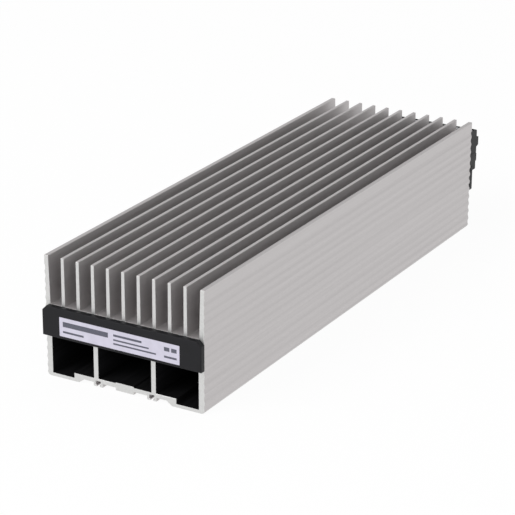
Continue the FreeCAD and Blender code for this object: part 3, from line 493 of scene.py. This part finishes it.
class HEATER_OT_extrusion(bpy.types.Operator):
    """Make the extruded body with its anodised skin, painted shade in the ducts and saw-cut ends"""
    bl_idname = "heater.extrusion"
    bl_label = "Extruded body"

    def execute(self, context):
        sizes = context.scene.heater_extrusion
        shape = merged_copy("heatsink_profile")
        low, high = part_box("heatsink_profile")
        self.ease_flutes(shape, low, high, sizes.flute_share)
        for face in shape.faces:
            middle = face.calc_center_median()
            if min(middle.y - low.y, high.y - middle.y) < MERGE_DISTANCE:
                face.material_index = 1
            # Faces that line the ducts get the painted shade
            elif self.in_duct(face, middle, low, high):
                face.material_index = 2
        body = new_piece(shape, "extruded_body", "anodised_aluminium", natural_anodised_aluminium(),
                         saw_cut_aluminium(), painted_duct_shade())
        round_edges(body, sizes.edge_radius, 3)
        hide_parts("heatsink_profile")
        return {"FINISHED"}

    @staticmethod
    def ease_flutes(shape, low, high, share):
        """Bring the bottoms of the shallow flutes nearer to their crests, as blasting softens them."""
        flute_depth, foot_corner = 0.42 * MM, 2.3 * MM
        for vertex in shape.verts:
            side = high.x if vertex.co.x > 0 else low.x
            if abs(side - vertex.co.x) < flute_depth and vertex.co.z > foot_corner:
                vertex.co.x = side + (vertex.co.x - side) * share

    @staticmethod
    def in_duct(face, middle, low, high):
        """Whether a face lines one of the ducts, judged by where it lies and which way it looks."""
        wall, floor, foot_height, corner = 2.0 * MM, 1.5 * MM, 2.6 * MM, 1.0 * MM
        # The caps reach down to the ducts' ceiling
        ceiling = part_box("front_end_cap")[0].z
        if middle.z > ceiling + MERGE_DISTANCE or min(middle.x - low.x, high.x - middle.x) < wall:
            return False
        if face.normal.z < -0.5:
            return middle.z > ceiling - corner
        if face.normal.z > 0.5:
            return middle.z > floor
        return middle.z > foot_height


class HEATER_OT_end_caps(bpy.types.Operator):
    """Make the two moulded end caps"""
    bl_idname = "heater.end_caps"
    bl_label = "End caps"

    def execute(self, context):
        sizes = context.scene.heater_moulding
        black = moulded_polyamide("moulded_black_polyamide", tuple(sizes.cap_colour), 0.5)
        for name in ("front_end_cap", "rear_end_cap"):
            dressed(name, "black_polyamide", black, 0.5 * sizes.edge_radius)
        return {"FINISHED"}


class HEATER_OT_rating_label(bpy.types.Operator):
    """Make the label film and the plain printed fields on it"""
    bl_idname = "heater.rating_label"
    bl_label = "Rating label"

    # Plain fields from the label's left edge and foot, in millimetres: left, foot, width, height
    FIELDS = (
        (2.0, 5.2, 26.0, 2.6),
        (2.0, 2.0, 12.0, 1.0),
        (31.0, 6.6, 16.0, 1.1),
        (31.0, 4.4, 20.0, 0.8),
        (31.0, 2.4, 24.0, 0.8),
        (59.5, 5.6, 3.0, 2.0),
        (63.5, 5.6, 3.0, 2.0),
        (59.5, 2.2, 7.0, 1.0),
    )

    def execute(self, context):
        sizes = context.scene.heater_label
        low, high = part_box("rating_label")
        ink_face = low.y
        low.y += sizes.print_relief
        shape = bmesh.new()
        add_box(shape, low, high)
        upright = [edge for edge in shape.edges
                   if abs((edge.verts[0].co - edge.verts[1].co).normalized().y) > 0.9]
        bmesh.ops.bevel(shape, geom=upright, offset=sizes.corner_radius, affect="EDGES", segments=6,
                        profile=0.5, material=-1)
        film = new_piece(shape, "label_film", "label_film", label_film())
        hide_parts("rating_label")
        printed = bmesh.new()
        for left, foot, width, height in self.FIELDS:
            corner = Vector((low.x + left * MM, ink_face, low.z + foot * MM))
            far = Vector((corner.x + width * MM, low.y, corner.z + height * MM))
            add_box(printed, corner, far)
        new_piece(printed, "label_print", "label_film", label_ink())
        return {"FINISHED"}


class HEATER_OT_terminal(bpy.types.Operator):
    """Make the terminal header and the plug that sits on it"""
    bl_idname = "heater.terminal"
    bl_label = "Pluggable terminal"

    def execute(self, context):
        sizes = context.scene.heater_moulding
        satin = moulded_polyamide("moulded_terminal_polyamide", tuple(sizes.terminal_colour), 0.46)
        dressed("terminal_header", "terminal_polyamide", satin, 0.6 * sizes.edge_radius)
        plug = new_piece(carved(merged_copy("terminal_plug"), self.grooves(sizes)),
                         "terminal_plug_finished", "terminal_polyamide", satin)
        round_edges(plug, 0.4 * sizes.edge_radius)
        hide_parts("terminal_plug")
        return {"FINISHED"}

    @staticmethod
    def grooves(sizes):
        """Cutter for the shallow grooves that part the poles and flanges on the plug's back and top."""
        low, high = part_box("terminal_plug")
        middles = [(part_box("clamp_screw_" + pole)[0].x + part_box("clamp_screw_" + pole)[1].x) / 2
                   for pole in POLES]
        pitch = middles[1] - middles[0]
        half, depth, beyond = sizes.groove_width / 2, sizes.groove_depth, 1.0 * MM
        cutter = bmesh.new()
        for index in range(len(POLES) + 1):
            across = middles[0] + (index - 0.5) * pitch
            left, right = across - half, across + half
            add_box(cutter, Vector((left, low.y - beyond, high.z - depth)),
                    Vector((right, high.y + beyond, high.z + beyond)))
            add_box(cutter, Vector((left, high.y - depth, low.z - beyond)),
                    Vector((right, high.y + beyond, high.z - 2.0 * depth)))
        bmesh.ops.remove_doubles(cutter, verts=cutter.verts, dist=MERGE_DISTANCE)
        return cutter


class HEATER_OT_screws(bpy.types.Operator):
    """Make the screws that show at the rear end"""
    bl_idname = "heater.screws"
    bl_label = "Screws"

    def execute(self, context):
        sizes = context.scene.heater_metal
        zinc = plated_metal("bright_zinc_on_steel", tuple(sizes.zinc_colour), 0.28, 0.82)
        seen = ["clamp_screw_" + pole for pole in POLES]
        seen += [kind + side for kind in ("flange_screw_", "rear_cap_screw_") for side in ("left", "right")]
        for name in seen:
            dressed(name, "zinc_steel", zinc, sizes.edge_radius)
        for name in ["clamp_cage_" + pole for pole in POLES] + ["earth_washer", "earth_screw"]:
            paint(name, zinc)
        return {"FINISHED"}


class HEATER_OT_contacts(bpy.types.Operator):
    """Give the contacts and the earth strap their tin plating"""
    bl_idname = "heater.contacts"
    bl_label = "Contacts"

    def execute(self, context):
        tin = plated_metal("matt_tin_on_brass", tuple(context.scene.heater_metal.tin_colour), 0.4, 0.88)
        for pole in POLES:
            paint("header_pin_" + pole, tin)
            paint("fork_contact_" + pole, tin)
        paint("earth_strap", tin)
        return {"FINISHED"}


class HEATER_OT_cartridge(bpy.types.Operator):
    """Give the heating cartridge inside the body its finishes"""
    bl_idname = "heater.cartridge"
    bl_label = "Heating cartridge"

    def execute(self, context):
        stone = metallised_ceramic()
        for name in frame["nodes"]:
            if name.startswith("ptc_stone"):
                paint(name, stone)
        paint("stone_frame", dull_solid("mica_board", "d6cfb8", "b8ad90", 1.5 * MM, 0.7, 1.58, 0.05))
        strip = plated_metal("rolled_aluminium_strip", linear("d2d2d4"), 0.32, 0.9)
        for name in ("contact_strip_lower", "contact_strip_upper"):
            paint(name, strip)
        paint("insulating_sleeve", polyimide_film())
        rubber = dull_solid("red_silicone_rubber", "9a3f2e", "873424", 0.8 * MM, 0.62, 1.41)
        for name in ("front_slot_seal", "rear_slot_seal"):
            paint(name, rubber)
        for name, tone, light, dark in (("live_lead", "red", "a3241f", "942019"),
                                        ("neutral_lead", "white", "e6e5e1", "dad9d4")):
            paint(name, dull_solid(tone + "_silicone_insulation", light, dark, 0.6 * MM, 0.42, 1.41))
        return {"FINISHED"}


class HEATER_OT_stage(bpy.types.Operator):
    """Make the pale floor, the white surroundings, the soft lights and the camera"""
    bl_idname = "heater.stage"
    bl_label = "Stage"

    # Metres, from the middle of the foot of the body
    FLOOR_RADIUS = 12.0
    KEY_PLACE, KEY_WIDTH = Vector((-0.9, -1.7, 1.5)), 1.4
    SIDE_PLACE, SIDE_WIDTH = Vector((0.9, -0.85, 0.6)), 0.7
    SENSOR_WIDTH = 36.0

    def execute(self, context):
        sizes = context.scene.heater_stage
        low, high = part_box("heatsink_profile")
        foot = Vector(((low.x + high.x) / 2, (low.y + high.y) / 2, 0.0))
        self.floor(sizes)
        self.room(context.scene, sizes)
        self.softbox("key_light", self.KEY_PLACE, foot, self.KEY_WIDTH, sizes.key_power)
        self.softbox("side_light", self.SIDE_PLACE, foot, self.SIDE_WIDTH, sizes.side_power)
        self.camera(context.scene, sizes, foot)
        context.scene.view_settings.view_transform = "Standard"
        return {"FINISHED"}

    def floor(self, sizes):
        """Round sheet of paper that reaches past every view."""
        shape = bmesh.new()
        bmesh.ops.create_circle(shape, cap_ends=True, segments=sizes.floor_sides, radius=self.FLOOR_RADIUS)
        ground = placed("studio_floor", as_mesh(shape, "studio_floor"))
        ground.data.materials.append(background_paper(sizes))

    @staticmethod
    def room(scene, sizes):
        """Even light from all round, with a white horizon and a dimmer ceiling for metal to mirror."""
        world = bpy.data.worlds.new("white_room")
        world.use_nodes = True
        tree = world.node_tree
        tree.nodes.clear()
        way = node(tree, "ShaderNodeTexCoord").outputs["Generated"]
        height = node(tree, "ShaderNodeSeparateXYZ", {"Vector": way}).outputs["Z"]
        ceiling = node(tree, "ShaderNodeMapRange", {"Value": height, "From Min": 0.05, "From Max": 0.5,
                                                    "To Min": 1.0, "To Max": sizes.overhead_level})
        level = node(tree, "ShaderNodeMapRange", {"Value": seen_white(tree), "To Min": sizes.room_level,
                                                  "To Max": ceiling.outputs["Result"]})
        straight = node(tree, "ShaderNodeLightPath").outputs["Is Camera Ray"]
        strength = node(tree, "ShaderNodeMath", {0: level.outputs["Result"], 1: straight},
                        operation="MAXIMUM")
        light = node(tree, "ShaderNodeBackground", {"Color": linear("ffffff"),
                                                    "Strength": strength.outputs[0]})
        node(tree, "ShaderNodeOutputWorld", {"Surface": light.outputs[0]})
        scene.world = world

    @staticmethod
    def softbox(name, place, target, width, power):
        """Square soft light that looks at a target."""
        lamp = bpy.data.lights.new(name, "AREA")
        lamp.shape = "SQUARE"
        lamp.size = width
        lamp.energy = power
        turned = (target - place).to_track_quat("-Z", "Y").to_matrix().to_4x4()
        placed(name, lamp).matrix_world = Matrix.Translation(place) @ turned

    def camera(self, scene, sizes, foot):
        """Camera that looks along a fixed direction, set off sideways and upwards in its own plane."""
        back = Vector((math.sin(sizes.azimuth) * math.cos(sizes.elevation),
                       -math.cos(sizes.azimuth) * math.cos(sizes.elevation), math.sin(sizes.elevation)))
        level = Vector((math.cos(sizes.azimuth), math.sin(sizes.azimuth), 0.0))
        right = Matrix.Rotation(sizes.roll, 3, back) @ level
        up = back.cross(right)
        place = foot + right * sizes.across + up * sizes.above + back * sizes.distance
        data = bpy.data.cameras.new("camera")
        data.sensor_width = self.SENSOR_WIDTH
        data.lens = sizes.lens
        data.clip_start = 10.0 * MM
        data.clip_end = 100.0
        scene.camera = placed("camera", data)
        turned = Matrix((right, up, back)).transposed().to_4x4()
        scene.camera.matrix_world = Matrix.Translation(place) @ turned


class HEATER_PT_panel(bpy.types.Panel):
    """Lists the heater's pieces and their settings"""
    bl_idname = "HEATER_PT_panel"
    bl_label = "Enclosure heater"
    bl_space_type = "VIEW_3D"
    bl_region_type = "UI"
    bl_category = "Heater"

    def draw(self, context):
        for holder, group in SETTINGS:
            box = self.layout.box()
            box.label(text=group.__doc__)
            for name in group.__annotations__:
                box.prop(getattr(context.scene, holder), name)
        for operator in OPERATORS:
            self.layout.operator(operator.bl_idname)


SETTINGS = (
    ("heater_extrusion", ExtrusionSettings),
    ("heater_moulding", MouldingSettings),
    ("heater_label", LabelSettings),
    ("heater_metal", MetalSettings),
    ("heater_stage", StageSettings),
)
OPERATORS = (
    HEATER_OT_extrusion,
    HEATER_OT_end_caps,
    HEATER_OT_rating_label,
    HEATER_OT_terminal,
    HEATER_OT_screws,
    HEATER_OT_contacts,
    HEATER_OT_cartridge,
    HEATER_OT_stage,
)


def register():
    """Make the settings, the operators and the panel known to Blender."""
    for name, group in SETTINGS:
        bpy.utils.register_class(group)
        setattr(bpy.types.Scene, name, PointerProperty(type=group))
    for operator in OPERATORS:
        bpy.utils.register_class(operator)
    bpy.utils.register_class(HEATER_PT_panel)


def unregister():
    """Take them all out again, in the opposite order."""
    bpy.utils.unregister_class(HEATER_PT_panel)
    for operator in reversed(OPERATORS):
        bpy.utils.unregister_class(operator)
    for name, group in reversed(SETTINGS):
        delattr(bpy.types.Scene, name)
        bpy.utils.unregister_class(group)


def main():
    """Make every piece in order, then the stage."""
    register()
    bpy.ops.heater.extrusion()
    bpy.ops.heater.end_caps()
    bpy.ops.heater.rating_label()
    bpy.ops.heater.terminal()
    bpy.ops.heater.screws()
    bpy.ops.heater.contacts()
    bpy.ops.heater.cartridge()
    bpy.ops.heater.stage()


if __name__ == "__main__":
    main()
